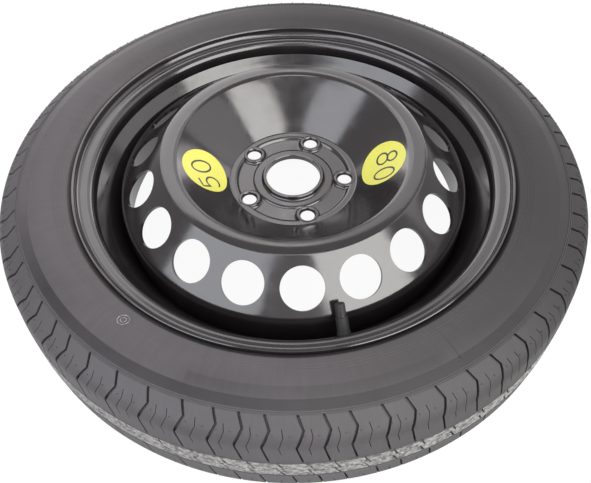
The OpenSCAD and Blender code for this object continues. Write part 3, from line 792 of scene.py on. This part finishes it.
mark_r, mark_angle, ring_radii, ring_wire_w, ring_wire_h = 253.5, -37.5, (5.4, 2.6), 0.9, 0.35
ring_mark = joined("ring_mark", [
    wrapped(bar("mark_ring", circle_way(size, size, (0, mark_r)), ring_wire_w, -0.4, ring_wire_h,
                closed=True), onto_wall)
    for size in ring_radii])
placed(ring_mark, lowered @ Matrix.Rotation(math.radians(mark_angle), 4, "Z"))


def rubbed_rubber():
    material, tree, shader = node_graph("rubbed_rubber")
    grain = ranged(tree, noise(tree, 700, 3), 0.4, 0.65)
    tree.links.new(mixed(tree, grain, (0.08, 0.076, 0.08, 1), (0.25, 0.243, 0.25, 1)),
                   shader.inputs["Base Color"])
    tree.links.new(ranged(tree, grain, 0, 1, 0.6, 0.75), shader.inputs["Roughness"])
    return material


coated(ring_mark, rubbed_rubber())
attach(ring_mark, "wheel")


# Valve: a snap-in rubber body pulled through the rim's step, with a brass stem and core inside it and a
# ribbed plastic cap screwed on top.
def plain_finish(name, dark, light, rough, scale=300, metal=0.0, bump=0.0001):
    """A finish with a fine mottle in its colour, roughness and surface."""
    material, tree, shader = node_graph(name)
    grain = noise(tree, scale, 3)
    tree.links.new(mixed(tree, ranged(tree, grain, 0.35, 0.7), (*dark, 1), (*light, 1)),
                   shader.inputs["Base Color"])
    tree.links.new(ranged(tree, grain, 0.3, 0.7, rough - 0.06, rough + 0.06), shader.inputs["Roughness"])
    shader.inputs["Metallic"].default_value = metal
    bumped(tree, shader, grain, bump, 0.4)
    return material


finishes = {
    "valve_rubber": plain_finish("moulded_valve_rubber", (0.006, 0.0056, 0.0058),
                                 (0.012, 0.0112, 0.0115), 0.62),
    "valve_stem": plain_finish("turned_brass", (0.5, 0.36, 0.15), (0.66, 0.5, 0.24), 0.28, metal=1.0),
    "valve_cap": plain_finish("moulded_cap_plastic", (0.007, 0.0068, 0.0070), (0.014, 0.0134, 0.0138), 0.5),
    "cap_washer": plain_finish("washer_rubber", (0.02, 0.02, 0.02), (0.035, 0.034, 0.034), 0.6),
    "core_spring": plain_finish("spring_wire", (0.5, 0.5, 0.52), (0.66, 0.66, 0.68), 0.25, metal=1.0),
    "core_gasket": plain_finish("core_sleeve_rubber", (0.02, 0.018, 0.018), (0.04, 0.034, 0.034), 0.5),
}
for name in ("core_plug", "core_barrel", "core_pin", "core_cup"):
    finishes[name] = finishes["valve_stem"]
finishes["core_cup_seal"] = finishes["core_gasket"]
for name, finish in finishes.items():
    coated(nodes[name], finish)

# the coil gives way under the pin's collar; here it is a copy of the spring's mesh with its doubles merged,
# on the wheel's body
coil = bpy.data.objects.new("coil_spring", nodes["core_spring"].data.copy())
bpy.context.collection.objects.link(coil)
pick(coil)
bpy.ops.object.mode_set(mode="EDIT")
bpy.ops.mesh.select_all(action="SELECT")
bpy.ops.mesh.remove_doubles(threshold=0.000001)
bpy.ops.mesh.normals_make_consistent(inside=False)
bpy.ops.object.mode_set(mode="OBJECT")
coated(coil, finishes["core_spring"])
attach(coil, "wheel")
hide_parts("core_spring")
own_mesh(coil)


# Stickers: two round yellow plastic films, glued to the inner slope on opposite sides and printed with
# plain thin black numbers. They are stuck on by hand, so each number sits a little askew.
def sticker_film():
    material, tree, shader = node_graph("yellow_film")
    cloud = noise(tree, 40, 3)
    tree.links.new(mixed(tree, ranged(tree, cloud, 0.35, 0.7), (0.475, 0.468, 0.068, 1),
                         (0.51, 0.50, 0.083, 1)), shader.inputs["Base Color"])
    tree.links.new(ranged(tree, cloud, 0.3, 0.7, 0.32, 0.42), shader.inputs["Roughness"])
    bumped(tree, shader, noise(tree, 120, 2), 0.0001, 0.2)
    return material


film = sticker_film()
for name in ("sticker_80", "sticker_50"):
    coated(nodes[name], film)

# the numbers are drawn flat, tops outward, and laid on the films
film_top = 0.21
digit_w, digit_h, digit_pitch = 15.0, 25.5, 22.0
ink_w, ink_h, ink_sunk = 2.2, 0.06, 0.05
cone_mid_r = (cone_foot_r + crease_in_r) / 2


def onto_film(angle, radius):
    """From (clockwise, outward, up) about a film's centre to the film's face."""
    slant = radius / math.cos(cone_slope)

    def laid(co):
        away = math.hypot(co.x, slant + co.y)
        turn = math.radians(angle) - math.atan2(co.x, slant + co.y) / math.cos(cone_slope)
        lift = film_top + co.z
        r = away * math.cos(cone_slope)
        z = ring_z + (r - cone_foot_r) * cone_rise + lift * math.cos(cone_slope)
        r -= lift * math.sin(cone_slope)
        return Vector((r * math.cos(turn), r * math.sin(turn), z))
    return laid


def arc_way(radius_x, radius_y, centre, start, end, steps=24):
    """Points on part of an ellipse, between two angles in degrees."""
    turns = [math.radians(start + (end - start) * k / steps) for k in range(steps + 1)]
    return [Vector((centre[0] + radius_x * math.cos(a), centre[1] + radius_y * math.sin(a))) for a in turns]


def digit_ways(digit):
    """The strokes of a plain digit, as (line, closed), about its middle."""
    w, h = digit_w / 2, digit_h / 2
    if digit == "0":
        return [(circle_way(w, h, steps=48), True)]
    if digit == "8":
        return [(circle_way(0.80 * w, 0.48 * h, (0, 0.52 * h), 36), True),
                (circle_way(0.97 * w, 0.54 * h, (0, -0.46 * h), 36), True)]
    bowl = arc_way(1.02 * w, 0.66 * h, (-0.04 * w, -0.34 * h), 132, -140)
    return [(stepped([(0.86 * w, h), (-0.66 * w, h), bowl[0]], 3) + bowl[1:], False)]


def ink():
    material, tree, shader = node_graph("black_ink")
    grain = noise(tree, 900, 2)
    tree.links.new(mixed(tree, grain, (0.012, 0.012, 0.011, 1), (0.03, 0.03, 0.026, 1)),
                   shader.inputs["Base Color"])
    tree.links.new(ranged(tree, grain, 0.3, 0.7, 0.35, 0.45), shader.inputs["Roughness"])
    return material


# for each film its angle round the wheel and its radius, and the number's turn and shift on it
film_places = {
    "80": {"angle": -2.8, "radius": cone_mid_r + 1.02, "turn": -11.5, "middle": (4.4, 3)},
    "50": {"angle": 185.9, "radius": cone_mid_r - 1.28, "turn": 27, "middle": (-4.8, 0)},
}
black_ink = ink()
for number, place in film_places.items():
    askew = Matrix.Rotation(math.radians(place["turn"]), 2)
    strokes = []
    for index, digit in enumerate(number):
        shift = Vector(((index - 0.5) * digit_pitch, 0))
        for way, closed in digit_ways(digit):
            line = [Vector(place["middle"]) + askew @ (p + shift) for p in way]
            stroke = bar("stroke", line, ink_w, -ink_sunk, ink_h, closed)
            strokes.append(wrapped(stroke, onto_film(place["angle"], place["radius"])))
    numbers = joined("printed_" + number, strokes)
    coated(numbers, black_ink)
    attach(numbers, "wheel")


# Studio: a plain pale floor, a large soft lamp on each side of the camera, weaker ones behind, beside and
# above the wheel, and a soft pale room. The camera stands in front, 45 degrees up.
bpy.ops.object.select_all(action="DESELECT")
bpy.ops.mesh.primitive_plane_add(size=14, location=(0, 0, cad_box[0][2]))
floor = new_object("floor")


def studio_floor():
    """White to the camera and in reflections, with part of it left to the lamps so that a shadow shows."""
    material = bpy.data.materials.new("pale_floor")
    material.use_nodes = True
    tree = material.node_tree
    tree.nodes.remove(tree.nodes["Principled BSDF"])
    lit = add(tree, "ShaderNodeBsdfDiffuse", {"Color": (0.9, 0.9, 0.9, 1)}).outputs[0]
    glow = add(tree, "ShaderNodeEmission", {"Color": (1, 1, 1, 1), "Strength": 1.0}).outputs[0]
    shown = add(tree, "ShaderNodeMixShader", {0: 0.93, 1: lit, 2: glow}).outputs[0]
    ray = add(tree, "ShaderNodeLightPath")
    seen = add(tree, "ShaderNodeMath", {0: ray.outputs["Is Camera Ray"], 1: ray.outputs["Is Glossy Ray"]},
               operation="MAXIMUM").outputs[0]
    seen = add(tree, "ShaderNodeMath", {0: seen, 1: ray.outputs["Is Transmission Ray"]},
               operation="MAXIMUM").outputs[0]
    whole = add(tree, "ShaderNodeMixShader", {0: seen, 1: lit, 2: shown}).outputs[0]
    tree.links.new(whole, tree.nodes["Material Output"].inputs["Surface"])
    return material


floor.data.materials.append(studio_floor())


def soft_lamp(name, place, size, power, colour, aim=(0, 0, 0)):
    """A rectangular soft lamp that faces the wheel."""
    data = bpy.data.lights.new(name, "AREA")
    data.shape = "RECTANGLE"
    data.size, data.size_y = size
    data.energy = power
    data.color = colour
    lamp = bpy.data.objects.new(name, data)
    bpy.context.collection.objects.link(lamp)
    lamp.location = place
    lamp.rotation_euler = (Vector(aim) - Vector(place)).to_track_quat("-Z", "Y").to_euler()
    return lamp


def direction(azimuth, elevation, distance=2.0):
    """A place at an azimuth from behind the wheel, clockwise, and an elevation, in degrees and metres."""
    a, e = math.radians(azimuth), math.radians(elevation)
    flat = distance * math.cos(e)
    return (flat * math.sin(a), flat * math.cos(a), distance * math.sin(e))


warm, cool = (1.0, 0.985, 0.96), (0.92, 0.945, 1.0)
rosy, rosy_left, near_white = (1.0, 0.97, 0.97), (1.0, 0.965, 0.97), (1.0, 0.98, 0.98)

# name, azimuth, elevation, width, height, watts, colour
for name, azimuth, elevation, width, height, watts, colour in (
        ("lamp_right", 135, 39, 1.55, 1.85, 56, warm),
        ("lamp_left", -128.5, 39, 1.82, 1.8, 35.8, cool),
        ("lamp_back_left", -21.5, 33, 1.15, 1.72, 14.2, rosy_left),
        ("lamp_back_right", 20.5, 33, 1.08, 1.72, 7.7, rosy),
        ("lamp_side_right", 74, 36, 1.2, 1.2, 4.5, rosy),
        ("lamp_low_right", 38, 16, 1.1, 0.6, 4.0, rosy),
        ("lamp_low_left", -38, 15, 0.95, 0.5, 1.3, rosy),
        ("lamp_front", 180, 40, 0.9, 1.1, 1.0, near_white),
        ("lamp_top", 180, 77, 0.8, 0.3, 4.2, near_white)):
    soft_lamp(name, direction(azimuth, elevation), (width, height), watts, colour)

world = bpy.data.worlds.new("pale_room")
bpy.context.scene.world = world
world.use_nodes = True
world_tree = world.node_tree
backdrop = world_tree.nodes["Background"]
ray = add(world_tree, "ShaderNodeLightPath")
room = mixed(world_tree, ray.outputs["Is Camera Ray"], (0.57, 0.545, 0.56, 1), (1, 1, 1, 1))
world_tree.links.new(room, backdrop.inputs["Color"])
backdrop.inputs["Strength"].default_value = 1.0

# the camera looks down at the wheel's middle from in front, and is turned a little so that the wheel sits
# where it does in the picture
sensor_w, lens = 36, 40.74
picture_w, picture_h = 591, 483
camera_y, camera_z = -0.5141, 0.5531
aim_x, aim_y = 292.90, 157.17          # the pixel that the untilted line of sight falls on
focal_px = 668.87
camera_data = bpy.data.cameras.new("camera")
camera_data.sensor_width = sensor_w
camera_data.lens = lens
camera = bpy.data.objects.new("camera", camera_data)
bpy.context.collection.objects.link(camera)
tilt = math.radians(45.11)
roll = math.radians(0.98)
pan = math.atan((aim_x - picture_w / 2) / focal_px)
lift = math.atan2(-(aim_y - picture_h / 2) / focal_px, math.sqrt(1 + math.tan(pan) ** 2))
right = Vector((1, 0, 0))
up = Vector((0, math.sin(tilt), math.cos(tilt)))
ahead = Vector((0, math.cos(tilt), -math.sin(tilt)))
x_axis = math.cos(roll) * right - math.sin(roll) * up
y_axis = math.sin(roll) * right + math.cos(roll) * up
y_turned = math.cos(lift) * y_axis + math.sin(lift) * ahead
z_turned = -math.sin(lift) * y_axis + math.cos(lift) * ahead
x_turned = math.cos(pan) * x_axis + math.sin(pan) * z_turned
z_turned = -math.sin(pan) * x_axis + math.cos(pan) * z_turned
camera.matrix_world = Matrix((
    (x_turned.x, y_turned.x, -z_turned.x, 0),
    (x_turned.y, y_turned.y, -z_turned.y, camera_y),
    (x_turned.z, y_turned.z, -z_turned.z, camera_z),
    (0, 0, 0, 1)))
bpy.context.scene.camera = camera
bpy.context.scene.view_settings.view_transform = "Standard"
